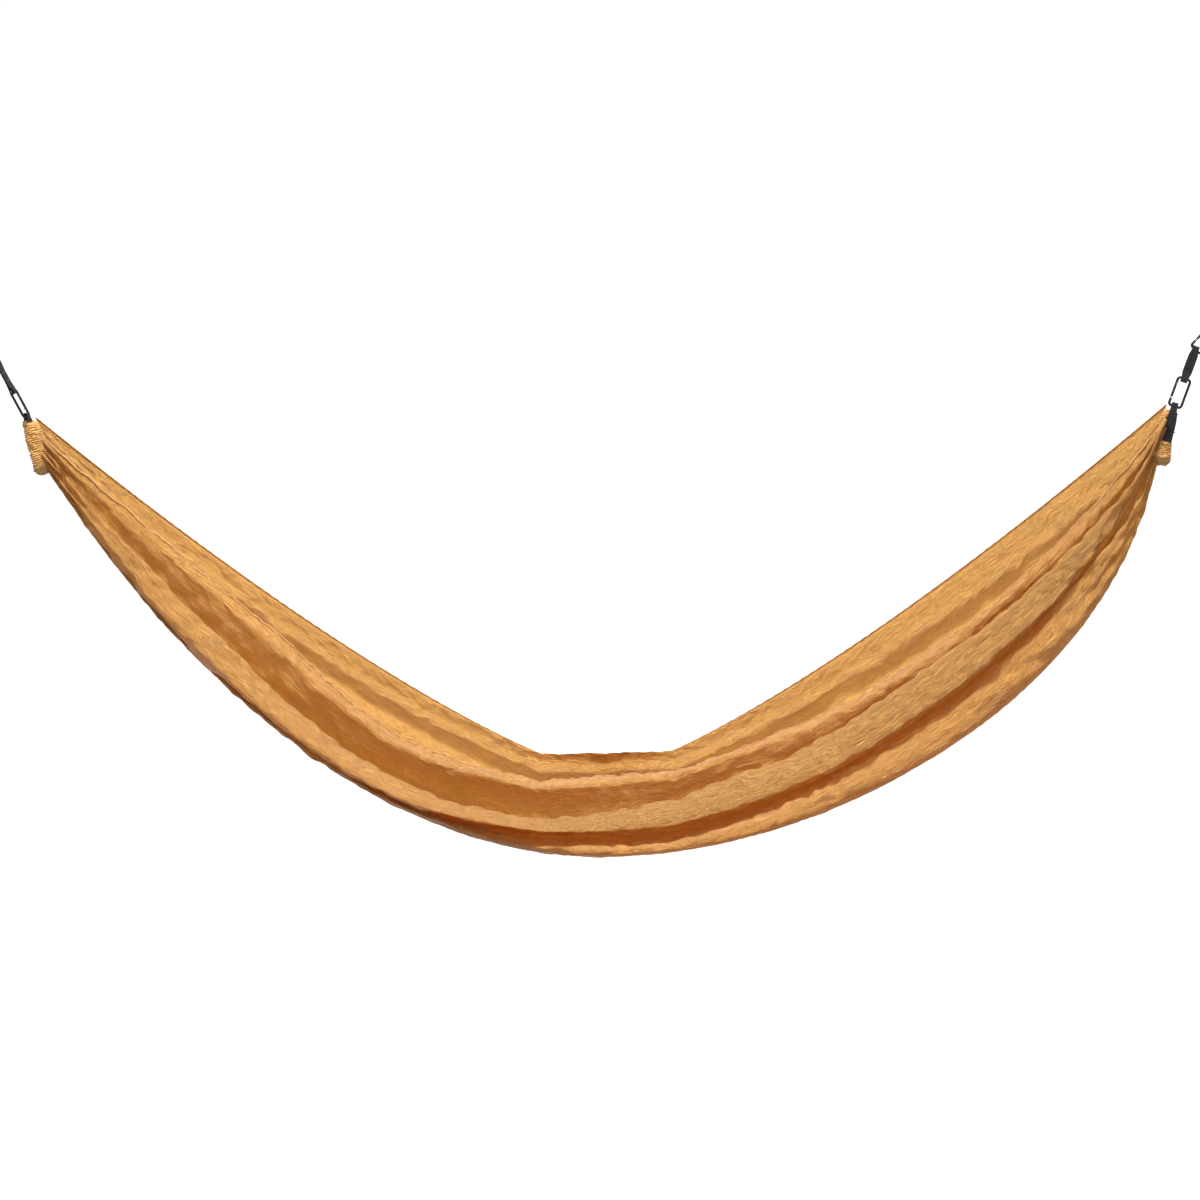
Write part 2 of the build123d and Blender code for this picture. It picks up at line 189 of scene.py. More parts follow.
class Finish:
    """The nodes of one material, or of the world."""

    def __init__(self, block):
        self.block = block
        self.block.use_nodes = True
        self.tree = self.block.node_tree
        self.tree.nodes.clear()

    def node(self, kind, settings=None, inputs=None, output=0):
        made = self.tree.nodes.new("ShaderNode" + kind)
        for name, value in (settings or {}).items():
            if name == "stops":
                self.set_stops(made.color_ramp, value)
            else:
                setattr(made, name, value)
        for name, value in (inputs or {}).items():
            if isinstance(value, Socket):
                self.tree.links.new(value.socket, made.inputs[name])
            else:
                made.inputs[name].default_value = value
        return Socket(self, made.outputs[output] if len(made.outputs) else None)

    @staticmethod
    def set_stops(ramp, stops):
        while len(ramp.elements) < len(stops):
            ramp.elements.new(0.5)
        for element, (place, colour) in zip(ramp.elements, stops):
            element.position = place
            element.color = (*colour, 1.0)

    def place(self, name="Object"):
        outputs = {"Generated": 0, "Normal": 1, "UV": 2, "Object": 3}
        return self.node("TexCoord", output=outputs[name])

    def stretched(self, vector, scale):
        return self.node("Mapping", inputs={"Vector": vector, "Scale": scale})

    def cloud(self, vector, scale, detail=3.0, roughness=0.5):
        sockets = {"Vector": vector, "Scale": scale, "Detail": detail, "Roughness": roughness}
        return self.node("TexNoise", inputs=sockets)

    def blend(self, share, first, second):
        """Colour mix; first where share is 0, second where it is 1."""
        sockets = {0: share, 6: first, 7: second}
        settings = {"data_type": "RGBA", "clamp_factor": True}
        return self.node("Mix", settings, sockets, output=2)

    def ramp(self, value, stops):
        return self.node("ValToRGB", {"stops": stops}, {0: value})

    def bump(self, height, strength, distance, under=None):
        sockets = {"Height": height, "Strength": strength, "Distance": distance}
        if under is not None:
            sockets["Normal"] = under
        return self.node("Bump", inputs=sockets)

    def surface(self, **inputs):
        named = {name.replace("_", " "): value for name, value in inputs.items()}
        return self.node("BsdfPrincipled", inputs=named)

    def done(self, shader, kind="Material"):
        self.node("Output" + kind, inputs={"Surface": shader})
        return self.block


def new_finish(name):
    return Finish(bpy.data.materials.new(name))


def colour(red, green, blue):
    return (red, green, blue, 1.0)


# %% [markdown]
# Hammock nylon is a thin plain weave, about a tenth of a millimetre thick. Light goes through
# it: a single layer with daylight behind looks paler and greyer, and deep folds look almost
# amber. So the finish is a soft sheen surface mixed with a translucent one. Crinkles that are
# too small for the mesh come from two stretched noises, and the yarns from two crossing waves.


# %% Nylon
YARN_RATE = 5200.0  # radians in a metre of cloth


def nylon(name, tint, through, clear_share, solid_share, crinkle=1.0):
    finish = new_finish(name)
    flat = finish.node("UVMap", {"uv_map": "flat"})
    along = finish.node("SeparateXYZ", inputs={0: flat}, output=0)
    across = finish.node("SeparateXYZ", inputs={0: flat}, output=1)
    broad = finish.cloud(flat, 3.0, 4.0)
    uneven = finish.cloud(finish.stretched(flat, (14.0, 60.0, 1.0)), 1.0, 5.0, 0.6)
    yarns = (along * YARN_RATE).sine() * 0.5 + (across * YARN_RATE).sine() * 0.5
    creases = finish.cloud(finish.stretched(flat, (24.0, 70.0, 1.0)), 1.0, 6.0, 0.62)
    folds = abs(creases - 0.5) ** 0.7
    darker = tuple(v * 0.80 for v in tint)
    lighter = tuple(min(v * 1.13 + 0.012, 1.0) for v in tint)
    base = finish.blend(broad, colour(*darker), colour(*lighter))
    base = finish.blend(uneven * 0.35, base, colour(*lighter))
    base = finish.blend(yarns * 0.04 + 0.04, base, colour(*darker))
    relief = finish.bump(folds, 1.0 * crinkle, 0.030)
    relief = finish.bump(uneven, 0.6 * crinkle, 0.008, relief)
    relief = finish.bump(yarns, 0.10, 0.00012, relief)
    skin = finish.surface(
        Base_Color=base,
        Roughness=broad * 0.12 + 0.42,
        Specular_IOR_Level=0.34,
        Sheen_Weight=0.12,
        Sheen_Roughness=0.45,
        Alpha=solid_share,
        Normal=relief,
    )
    glow = finish.node("BsdfTranslucent", inputs={"Color": colour(*through), "Normal": relief})
    return finish.done(finish.node("MixShader", inputs={0: clear_share, 1: skin, 2: glow}))


bed_nylon = nylon("bed_nylon", (0.77, 0.425, 0.108), (0.84, 0.345, 0.032), 0.36, 0.97)
# Channel: the same nylon in a darker tint, painted shade for the bunched, shadowed cloth of the
# channel.
channel_nylon = nylon("channel_nylon", (0.64, 0.325, 0.088), (0.74, 0.32, 0.045), 0.14, 1.0, 0.6)
# Hem: the same nylon in a much darker tint, painted shade for the light that the rolled extra
# layers hold back.
hem_nylon = nylon("hem_nylon", (0.42, 0.19, 0.055), (0.48, 0.21, 0.05), 0.10, 1.0, 0.5)
print("nylon finishes:", bed_nylon.name, channel_nylon.name, hem_nylon.name)

# %% [markdown]
# Webbing is a narrow, thick weave. Its yarns lie in slanting ribs, and its two edges are
# firmer cords. The ribs are a wave across the strip's own coordinates; on the mesh itself
# only the edge cords and the strip's thickness are real geometry.


# %% Webbing and thread
RIB_RATE = 2600.0  # radians in a metre of webbing
RIB_SLANT = 0.9


def webbing_finish(name):
    finish = new_finish(name)
    flat = finish.node("UVMap", {"uv_map": "flat"})
    along = finish.node("SeparateXYZ", inputs={0: flat}, output=0)
    across = finish.node("SeparateXYZ", inputs={0: flat}, output=1)
    rib = ((along + across * RIB_SLANT) * RIB_RATE).sine() * 0.5 + 0.5
    counter = ((along - across * RIB_SLANT) * RIB_RATE).sine() * 0.5 + 0.5
    weave = rib * 0.65 + counter * 0.35
    dust = finish.cloud(finish.place(), 160.0, 4.0)
    base = finish.blend(weave * 0.5, colour(0.003, 0.003, 0.004), colour(0.016, 0.016, 0.019))
    base = finish.blend(dust * 0.10, base, colour(0.045, 0.045, 0.048))
    relief = finish.bump(weave, 0.6, 0.0004)
    skin = finish.surface(
        Base_Color=base,
        Roughness=dust * 0.2 + 0.6,
        Specular_IOR_Level=0.2,
        Normal=relief,
    )
    return finish.done(skin)


def thread_finish(name, tint):
    finish = new_finish(name)
    grain = finish.cloud(finish.stretched(finish.place(), (900.0, 900.0, 900.0)), 1.0, 2.0)
    darker = tuple(v * 0.6 for v in tint)
    base = finish.blend(grain, colour(*darker), colour(*tint))
    relief = finish.bump(grain, 0.5, 0.0002)
    skin = finish.surface(Base_Color=base, Roughness=grain * 0.2 + 0.45, Normal=relief)
    return finish.done(skin)


black_webbing = webbing_finish("black_webbing")
black_thread = thread_finish("black_thread", (0.03, 0.03, 0.034))
amber_thread = thread_finish("amber_thread", (0.34, 0.15, 0.05))

# %% [markdown]
# The carabiners are bent from aluminium rod and anodised black. Anodising is thin: it wears
# to a dull grey where the rod rubs on webbing and on other metal, mostly on its outer bends.
# Geometry's pointiness finds those edges. The pins and springs are plain steel.


# %% Metal
def anodised(name):
    finish = new_finish(name)
    spot = finish.place()
    scuffs = finish.cloud(finish.stretched(spot, (140.0, 140.0, 420.0)), 1.0, 5.0, 0.65)
    haze = finish.cloud(spot, 90.0, 2.0)
    edge = finish.node("NewGeometry", output=7)
    worn = finish.ramp(edge * 0.5 + scuffs * 0.5, [(0.55, (0, 0, 0)), (0.68, (0.55, 0.55, 0.55))])
    base = finish.blend(worn, colour(0.008, 0.008, 0.010), colour(0.09, 0.09, 0.095))
    skin = finish.surface(
        Base_Color=base,
        Metallic=0.5,
        Roughness=haze * 0.16 + 0.24,
        Specular_IOR_Level=0.3,
        Normal=finish.bump(scuffs, 0.12, 0.0003),
    )
    return finish.done(skin)


def steel(name, tint, roughness):
    finish = new_finish(name)
    spot = finish.place()
    drawn = finish.cloud(finish.stretched(spot, (300.0, 1500.0, 1500.0)), 1.0, 3.0)
    base = finish.blend(drawn, colour(*(v * 0.8 for v in tint)), colour(*tint))
    skin = finish.surface(
        Base_Color=base,
        Metallic=1.0,
        Roughness=drawn * 0.15 + roughness,
        Normal=finish.bump(drawn, 0.1, 0.0002),
    )
    return finish.done(skin)


black_metal = anodised("black_anodised_rod")
pin_steel = steel("pin_steel", (0.46, 0.46, 0.48), 0.28)
spring_steel = steel("spring_steel", (0.62, 0.62, 0.64), 0.2)

metal_nodes = 0
for name in frame["nodes"]:
    piece = bpy.data.objects[name]
    last = name.split("_")[-1]
    finish = {"body": black_metal, "gate": black_metal, "spring": spring_steel}.get(last)
    if finish is None and last in ("rivet", "pin", "pusher"):
        finish = pin_steel
    if finish is None:
        continue
    piece.data.materials.clear()
    piece.data.materials.append(finish)
    metal_nodes += 1
print("metal pieces finished:", metal_nodes)

# %% [markdown]
# The bed is one rectangle of nylon, gathered to a hand's height at each end. Hanging empty it
# doesn't make a smooth trough: it falls into a few long folds that run from gather to gather.
# Each fold is a line along the hammock. A fold line is placed twice: how high it looks from
# the side, between the upper edge and the lowest edge, and how deep it lies, from the near
# side to the far side. Ten places along the bed are enough for each.

# %% Edges of the bed, seen from the side
EDGE_HALF = 1.0735
KEEL_HALF = 1.0560
EDGE_MIDDLE = -0.338
EDGE_END = 0.357
EDGE_POWER = 1.28
EDGE_ROUNDING = 0.0016
CREST_HEIGHT = -0.289
CREST_RISE = 0.030
CREST_BEND = 0.10
KEEL_MIDDLE = -0.4885
KEEL_END = 0.262
KEEL_LEFT = ((0.95, 2), (0.05, 6))  # shares of the rise, each with its power
KEEL_RIGHT = ((0.69, 2), (0.225, 9), (0.085, 40))
BED_SHIFT = 0.006
HALF_DEPTH = 0.272
END_DEPTH = 0.016
DEPTH_POWER = 0.85


def edge_height(share):
    """The far selvedge, which is straighter than the lowest edge."""
    soft = (share * share + EDGE_ROUNDING) ** (EDGE_POWER / 2)
    return EDGE_MIDDLE + (EDGE_END - EDGE_MIDDLE) * soft


def crest_height(share):
    """The far side's roll in the middle of the bed, nearly level."""
    return CREST_HEIGHT + CREST_RISE * max(share, 0.0) - CREST_BEND * share * share


def top_height(share):
    """What shows uppermost: the selvedge, or the roll where it hides the selvedge."""
    return max(edge_height(share), crest_height(share))


def keel_height(share):
    """The lowest edge: rounder on the left, fuller and steeper-ended on the right."""
    terms = KEEL_LEFT if share < 0 else KEEL_RIGHT
    risen = sum(part * share**power for part, power in terms)
    return KEEL_MIDDLE + (KEEL_END - KEEL_MIDDLE) * risen


def half_depth(share):
    """Half the trough's depth from the near side to the far side."""
    wide = max(math.cos(math.pi / 2 * share), 0.0) ** DEPTH_POWER
    return END_DEPTH + (HALF_DEPTH - END_DEPTH) * wide


def set_back(side_x, side_height, depth):
    """The point at a depth that the camera sees at a place on the middle plane."""
    sine, cosine = math.sin(VIEW_TILT), math.cos(VIEW_TILT)
    top = side_height * (VIEW_DISTANCE + depth * cosine) - VIEW_DISTANCE * depth * sine
    height = top / (VIEW_DISTANCE * cosine + side_height * sine)
    away = VIEW_DISTANCE + depth * cosine - height * sine
    return Vector((side_x * away / VIEW_DISTANCE, depth, height)) + view_centre


# %% [markdown]
# Fold lines from the near selvedge to the far one. The near selvedge stands up inside the
# trough. Outside it the cloth drops into a pocket, rises to the bright rolled band, goes over
# it and down its face, tucks in under it, comes out again as the lowest panel, and then runs
# under the bed and up the far side to the other selvedge. Each fold has one depth on the left
# of the bed and another on the right, and passes smoothly from the first to the second.

# %% Fold lines
PLACES = (-1.0, -0.85, -0.62, -0.37, -0.12, 0.14, 0.38, 0.62, 0.86, 1.0)
FOLD_LINES = [
    # name, depth on the left and on the right as a share of half_depth,
    # height share at each place (0 top, 1 lowest)
    ("near selvedge", -0.22, -0.24, (0.24, 0.25, 0.25, 0.45, 0.29, 0.22, 0.33, 0.35, 0.27, 0.20)),
    ("sail ridge", -0.40, -0.46, (0.32, 0.33, 0.36, 0.52, 0.35, 0.27, 0.37, 0.39, 0.31, 0.25)),
    ("sail face", -0.35, -0.46, (0.40, 0.44, 0.52, 0.64, 0.46, 0.38, 0.44, 0.44, 0.37, 0.30)),
    ("sail fold", -0.24, -0.44, (0.47, 0.54, 0.66, 0.78, 0.60, 0.47, 0.49, 0.47, 0.41, 0.35)),
    ("pocket", -0.42, -0.48, (0.56, 0.68, 0.84, 0.96, 0.82, 0.70, 0.66, 0.62, 0.54, 0.42)),
    ("band back", -0.62, -0.57, (0.57, 0.64, 0.73, 0.82, 0.69, 0.54, 0.53, 0.49, 0.46, 0.41)),
    ("band top", -0.68, -0.63, (0.58, 0.61, 0.69, 0.79, 0.66, 0.485, 0.49, 0.45, 0.42, 0.40)),
    ("band face", -0.90, -0.79, (0.68, 0.78, 0.82, 0.87, 0.73, 0.62, 0.62, 0.57, 0.52, 0.47)),
    ("band foot", -1.00, -0.87, (0.78, 0.92, 0.93, 0.93, 0.79, 0.735, 0.73, 0.68, 0.61, 0.53)),
    ("band hem", -0.88, -0.78, (0.79, 0.93, 0.94, 0.94, 0.80, 0.745, 0.740, 0.69, 0.62, 0.54)),
    ("tuck", -0.50, -0.46, (0.81, 0.93, 0.94, 0.94, 0.82, 0.77, 0.755, 0.70, 0.63, 0.56)),
    ("panel top", -0.74, -0.66, (0.86, 0.95, 0.952, 0.955, 0.87, 0.84, 0.785, 0.75, 0.66, 0.62)),
    ("panel groove", -0.60, -0.86, (0.89, 0.97, 0.970, 0.972, 0.90, 0.88, 0.83, 0.80, 0.73, 0.70)),
    ("panel face", -0.72, -1.02, (0.94, 0.98, 0.980, 0.98, 0.94, 0.93, 0.91, 0.90, 0.86, 0.84)),
    ("lowest", -0.44, -0.90, (1.00, 1.00, 1.00, 1.00, 1.00, 1.00, 1.00, 1.00, 1.00, 1.00)),
    ("under", 0.20, 0.20, (0.93, 0.91, 0.91, 0.91, 0.91, 0.91, 0.91, 0.91, 0.91, 0.93)),
    ("far foot", 0.76, 0.76, (0.72, 0.66, 0.62, 0.60, 0.58, 0.58, 0.60, 0.62, 0.66, 0.72)),
    ("far ridge", 0.88, 0.88, (0.50, 0.44, 0.40, 0.40, 0.42, 0.42, 0.40, 0.40, 0.44, 0.50)),
    ("far hollow", 0.98, 0.98, (0.38, 0.33, 0.30, 0.29, 0.30, 0.30, 0.29, 0.30, 0.33, 0.38)),
    ("far crease", 0.90, 0.90, (0.28, 0.24, 0.21, 0.20, 0.19, 0.19, 0.20, 0.21, 0.24, 0.28)),
    ("far side", 0.97, 0.97, (0.18, 0.16, 0.14, 0.13, 0.10, 0.10, 0.13, 0.14, 0.16, 0.18)),
    ("far roll", 0.95, 0.95, (0.10, 0.08, 0.06, 0.05, 0.01, 0.01, 0.05, 0.06, 0.08, 0.10)),
]
SELVEDGE_DEPTH = 0.99
FAR_TUCK = 0.6
FAR_TUCK_LIMIT = 0.012
RIGHT_FROM = -0.35
RIGHT_OVER = 0.4
SPAN_STEPS = (6, 5, 5, 6, 7, 4, 8, 7, 3, 5, 5, 4, 5, 8, 10, 12, 8, 6, 6, 6, 6, 5)
LENGTH_STEPS = 300
CROWDING = 0.72  # how much closer the rows of points lie near the gathers


def eased(share):
    """Smooth step from 0 to 1."""
    share = min(max(share, 0), 1)
    return share * share * (3 - 2 * share)


def smooth_through(places, values, where):
    """Cubic curve through the values, with the slopes of their neighbours."""
    places, values = np.array(places), np.array(values)
    slopes = np.gradient(values, places)
    index = np.clip(np.searchsorted(places, where) - 1, 0, len(places) - 2)
    width = places[index + 1] - places[index]
    t = (where - places[index]) / width
    rise = (values[index + 1] - values[index]) * (3 * t * t - 2 * t**3)
    start = slopes[index] * width * (t**3 - 2 * t * t + t)
    finish = slopes[index + 1] * width * (t**3 - t * t)
    return values[index] + rise + start + finish


def fold_points(share):
    """Every fold line's point at one place along the bed, near selvedge first."""
    top, keel, deep = top_height(share), keel_height(share), half_depth(share)
    points = []
    right = eased((share - RIGHT_FROM) / RIGHT_OVER)
    for name, left_depth, right_depth, heights in FOLD_LINES:
        depth = left_depth + (right_depth - left_depth) * right
        fall = float(smooth_through(PLACES, heights, share))
        height = top + (keel - top) * fall
        half = EDGE_HALF + (KEEL_HALF - EDGE_HALF) * fall
        points.append(set_back(share * half + BED_SHIFT, height, depth * deep))
    far = set_back(share * EDGE_HALF + BED_SHIFT, edge_height(share), SELVEDGE_DEPTH * deep)
    hidden = max(crest_height(share) - edge_height(share), 0.0)
    far.y += min(hidden * FAR_TUCK, FAR_TUCK_LIMIT)
    points.append(far)
    return points


def through_points(points, steps):
    """Catmull-Rom curve through the fold points, with a set number of steps in each span."""
    p = np.array(points)
    p = np.vstack([2 * p[0] - p[1], p, 2 * p[-1] - p[-2]])
    rows = []
    for number, count in enumerate(steps):
        a, b, c, d = p[number : number + 4]
        t = np.linspace(0, 1, count, endpoint=False)[:, None]
        curve = 2 * b + (c - a) * t + (2 * a - 5 * b + 4 * c - d) * t**2
        rows.append(0.5 * (curve + (3 * b - a - 3 * c + d) * t**3))
    rows.append(p[-2][None, :])
    return np.vstack(rows)


def grid_normals(grid):
    along = np.gradient(grid, axis=0)
    across = np.gradient(grid, axis=1)
    normals = np.cross(along, across)
    return normals / np.maximum(np.linalg.norm(normals, axis=2, keepdims=True), 1e-9)


shares = np.linspace(-1, 1, LENGTH_STEPS + 1)
shares = np.sin(shares * math.pi / 2 * CROWDING) / math.sin(math.pi / 2 * CROWDING)
bed_grid = np.array([through_points(fold_points(s), SPAN_STEPS) for s in shares])
print("bed grid", bed_grid.shape)

# %% [markdown]
# Near the gathers the long folds break up into pleats, because the whole width of the cloth
# has to fit on the sling. The pleats are waves across the cloth that die away from the ends.
# The sheet also keeps small ridges from having been packed, short puckers across its sharpest
# folds, and one crumpled patch on the lowest panel. All are lifts along the surface's own
# normal. The lowest line and the far selvedge stay calm, which keeps the outline clean.

# %% Pleats and puckers
PLEATS = 15
PLEAT_HEIGHT = 0.0085
PLEAT_REACH = 0.12
SOFT_FOLDS = 7
SOFT_HEIGHT = 0.0070
SOFT_REACH = 0.34
SOFT_LOSS = 0.6  # share of the soft folds that gives way to the pleats
QUIET_REACH = 0.10
LOWEST_CALM = 0.85
LOWEST_REACH = 0.035
SELVEDGE_REACH = 0.05
CREASE_HEIGHT = 0.0034
CREASES = (  # share of the height, rate along, slant, rate across, seed, drop
    (1.00, 3.2, 0.0, 22.0, 1.5, 0.3),
    (0.55, 15.0, 14.0, 22.0, 2.5, 0.0),
    (0.45, 32.0, -20.0, 28.0, 3.5, 0.0),
)
PUCKER_FOLDS = ("sail ridge", "band top", "band foot", "panel top")
PUCKER_HEIGHT = 0.0050
PUCKER_REACH = 0.045
PUCKER_LIMIT = 2.5
PUCKER_ALONG = 46.0
PUCKER_ACROSS = 9.0
CRUMPLE_HEIGHT = 0.013
CRUMPLE_SHARE = 0.40  # where it is along the bed
CRUMPLE_LENGTH = 0.10
CRUMPLE_DOWN = 0.3  # where it is between the panel's top and the lowest line
CRUMPLE_WIDTH = 0.36
CRUMPLE_ALONG = 38
CRUMPLE_ACROSS = 40
FOLD_NUMBERS = {line[0]: number for number, line in enumerate(FOLD_LINES)}


def wander(x, y, z=0.0):
    return noise.noise(Vector((x, y, z)))


def creased(x, y, z=0.0):
    """Sharp little ridges, as thin cloth keeps after it has been packed."""
    return 1 - 2.6 * abs(wander(x, y, z)) ** 0.8


def columns_of(name):
    """The grid's column on a fold line."""
    return sum(SPAN_STEPS[: FOLD_NUMBERS[name]])


def ridge_lifts(x, y, calm):
    for height, along, slant, across, seed, drop in CREASES:
        ridge = creased(x * along + y * slant, y * across, seed) - drop
        yield CREASE_HEIGHT * height * calm * ridge


def pucker_lifts(x, gaps, away):
    for number, gap in enumerate(gaps):
        if gap < PUCKER_REACH * PUCKER_LIMIT:
            pull = math.exp(-((gap / PUCKER_REACH) ** 2)) * away
            pucker = wander(x * PUCKER_ALONG, gap * PUCKER_ACROSS, 6.0 + number)
            yield PUCKER_HEIGHT * pull * pucker


def crumple_lifts(x, y, share, top, low):
    patch = abs(share - CRUMPLE_SHARE) / CRUMPLE_LENGTH
    if patch < 2:
        centred = y - (1 - CRUMPLE_DOWN) * top - CRUMPLE_DOWN * low
        across = centred / (CRUMPLE_WIDTH * (low - top))
        crumple = math.exp(-patch * patch - across * across)
        yield CRUMPLE_HEIGHT * crumple * (creased(x * CRUMPLE_ALONG, y * CRUMPLE_ACROSS, 9.0) - 0.3)


def pleated(grid):
    """The grid with every small fold added along its normals."""
    normals = grid_normals(grid)
    rows, columns = grid.shape[:2]
    step = np.linalg.norm(np.diff(grid, axis=1), axis=2)
    metres = np.concatenate([np.zeros((rows, 1)), np.cumsum(step, axis=1)], axis=1)
    sewn = [columns_of(name) for name in PUCKER_FOLDS]
    out = grid.copy()
    for i in range(rows):
        end = 1 - abs(shares[i])
        side = 1 if shares[i] > 0 else 0
        x = float(grid[i, 0, 0])
        near_end = math.exp(-end / PLEAT_REACH)
        middle_end = math.exp(-end / SOFT_REACH) * (1 - near_end * SOFT_LOSS)
        away = 1 - math.exp(-end / QUIET_REACH)
        full = metres[i, -1]
        top, low = metres[i, columns_of("panel top")], metres[i, columns_of("lowest")]
        for j in range(columns):
            y = metres[i, j]
            t = y / full
            shift = 0.9 * wander(t * 5, shares[i] * 2.2, 4 + side)
            fine = math.sin(2 * math.pi * (PLEATS * t + shift))
            soft = math.sin(2 * math.pi * (SOFT_FOLDS * t + 0.3 * shift + 0.4 * side))
            gap = abs(y - low) / LOWEST_REACH
            calm = 1 - LOWEST_CALM * math.exp(-gap * gap)
            calm = calm * (1 - math.exp(-(full - y) / SELVEDGE_REACH))
            lift = calm * (PLEAT_HEIGHT * near_end * fine + SOFT_HEIGHT * middle_end * soft)
            for more in ridge_lifts(x, y, calm * away):
                lift += more
            for more in pucker_lifts(x, [abs(y - metres[i, column]) for column in sewn], away):
                lift += more
            for more in crumple_lifts(x, y, shares[i], top, low):
                lift += more
            out[i, j] += normals[i, j] * lift
    return out


bed_grid = pleated(bed_grid)


def grid_area(grid):
    u = grid[1:, :-1] - grid[:-1, :-1]
    v = grid[:-1, 1:] - grid[:-1, :-1]
    return float(np.linalg.norm(np.cross(u, v), axis=2).sum())


print("cloth area", round(grid_area(bed_grid), 3), "square metres")

# %% [markdown]
# A mesh from a grid of points, with a UV map called flat that holds each corner's place on
# the uncut cloth in metres. The finishes read it for their yarns and creases.


# %% Mesh helpers
def new_piece(name, vertices, faces, finish, uvs=None, smooth=True):
    mesh = bpy.data.meshes.new(name)
    mesh.from_pydata([tuple(v) for v in vertices], [], faces)
    mesh.update()
    if smooth:
        mesh.polygons.foreach_set("use_smooth", [True] * len(mesh.polygons))
    if uvs is not None:
        layer = mesh.uv_layers.new(name="flat")
        corners = np.zeros(len(mesh.loops), dtype=np.int64)
        mesh.loops.foreach_get("vertex_index", corners)
        layer.data.foreach_set("uv", np.array(uvs, dtype=np.float32)[corners].ravel())
    mesh.materials.append(finish)
    piece = bpy.data.objects.new(name, mesh)
    bpy.context.scene.collection.objects.link(piece)
    return piece


def grid_faces(rows, columns, closed=False):
    faces = []
    wrap = columns if closed else columns - 1
    for i in range(rows - 1):
        for j in range(wrap):
            k = (j + 1) % columns
            here, beyond = i * columns, (i + 1) * columns
            faces.append((here + j, beyond + j, beyond + k, here + k))
    return faces


# %% [markdown]
# The folded sheet is then settled as real cloth. Blender's cloth solver holds the gathered
# ends fast and the rest with a soft pull towards its place. The cloth is let out by three
# percent while it settles, and having nowhere to go it buckles into the small creases
# that thin nylon has. The result is written back to the mesh, so no solver is left on it.

# %% Cloth
CLOTH_WIDTH = 1.10
CLOTH_LENGTH = 2.70
CLOTH_FRAMES = 14
CLOTH_REACH = 0.016  # the furthest that the solver may carry a point
CLOTH_SETTINGS = {
    "quality": 5,
    "mass": 0.0004,
    "tension_stiffness": 6.0,
    "compression_stiffness": 4.0,
    "shear_stiffness": 1.0,
    "bending_stiffness": 0.0004,
    "tension_damping": 3.0,
    "compression_damping": 3.0,
    "air_damping": 4.0,
    "vertex_group_mass": "hold",
    "pin_stiffness": 0.6,
    "shrink_min": -0.03,  # the cloth is let out by three percent
}
CLOTH_GRAVITY = 0.25
GATHER_HOLD = 0.03  # share of the half length that the gather holds
FOLD_HOLDS = (("lowest", 0.6), ("band foot", 0.35))
FOLD_HOLD_WIDTH = 3.0  # columns
FAR_EDGE_HOLD = 0.9
NEAR_EDGE_HOLD = 0.5
LEAST_HOLD = 0.12


def hold_weights(columns):
    """How firmly each point of the grid is held while the cloth settles."""
    ends = np.repeat(1 - np.abs(shares), columns)
    gathers = np.clip(1.0 - ends / GATHER_HOLD, 0.0, 1.0)
    line = np.zeros(columns)
    for name, grip in FOLD_HOLDS:
        gap = np.abs(np.arange(columns) - columns_of(name))
        line = np.maximum(line, grip * np.exp(-((gap / FOLD_HOLD_WIDTH) ** 2)))
    line[-4:] = FAR_EDGE_HOLD
    line[:2] = NEAR_EDGE_HOLD
    return np.maximum(gathers, np.maximum(np.tile(line, len(shares)), LEAST_HOLD))


def settle(piece, hold):
    """Where the cloth solver carries the piece's points."""
    group = piece.vertex_groups.new(name="hold")
    for index, weight in enumerate(hold):
        group.add([index], float(weight), "REPLACE")
    cloth = piece.modifiers.new("cloth", "CLOTH")
    for name, value in CLOTH_SETTINGS.items():
        setattr(cloth.settings, name, value)
    cloth.settings.effector_weights.gravity = CLOTH_GRAVITY
    cloth.point_cache.frame_start = 1
    cloth.point_cache.frame_end = CLOTH_FRAMES
    scene = bpy.context.scene
    for number in range(1, CLOTH_FRAMES + 1):
        scene.frame_set(number)
    graph = bpy.context.evaluated_depsgraph_get()
    settled = piece.evaluated_get(graph).data
    places = np.zeros(len(settled.vertices) * 3)
    settled.vertices.foreach_get("co", places)
    piece.modifiers.remove(cloth)
    piece.vertex_groups.remove(group)
    scene.frame_set(1)
    return places.reshape(-1, 3)


rows, columns = bed_grid.shape[:2]
bed_uvs = []
for i in range(rows):
    for j in range(columns):
        bed_uvs.append(((shares[i] + 1) / 2 * CLOTH_LENGTH, j / (columns - 1) * CLOTH_WIDTH))
bed = new_piece("bed_cloth", bed_grid.reshape(-1, 3), grid_faces(rows, columns), bed_nylon, bed_uvs)
start = bed_grid.reshape(-1, 3)
places = settle(bed, hold_weights(columns))
moved = np.linalg.norm(places - start, axis=1)
print("cloth moved at most", round(float(moved.max()) * 1000, 1), "mm")
share_kept = np.minimum(1.0, CLOTH_REACH / np.maximum(moved, 1e-9))[:, None]
places = start + (places - start) * share_kept
bed_grid = places.reshape(rows, columns, 3)
bed.data.vertices.foreach_set("co", places.ravel())
bed.data.update()
print("settled area", round(grid_area(bed_grid), 3))
fine = bed.modifiers.new("fine", "SUBSURF")
fine.levels = 1
fine.render_levels = 1
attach(bed, "hammock")
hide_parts("bed_fabric")

# %% [markdown]
# A tube along a line of points serves for the hems, the stitches and the ruched channels. Its
# frame is carried along the line without twisting, and its section may change on the way.


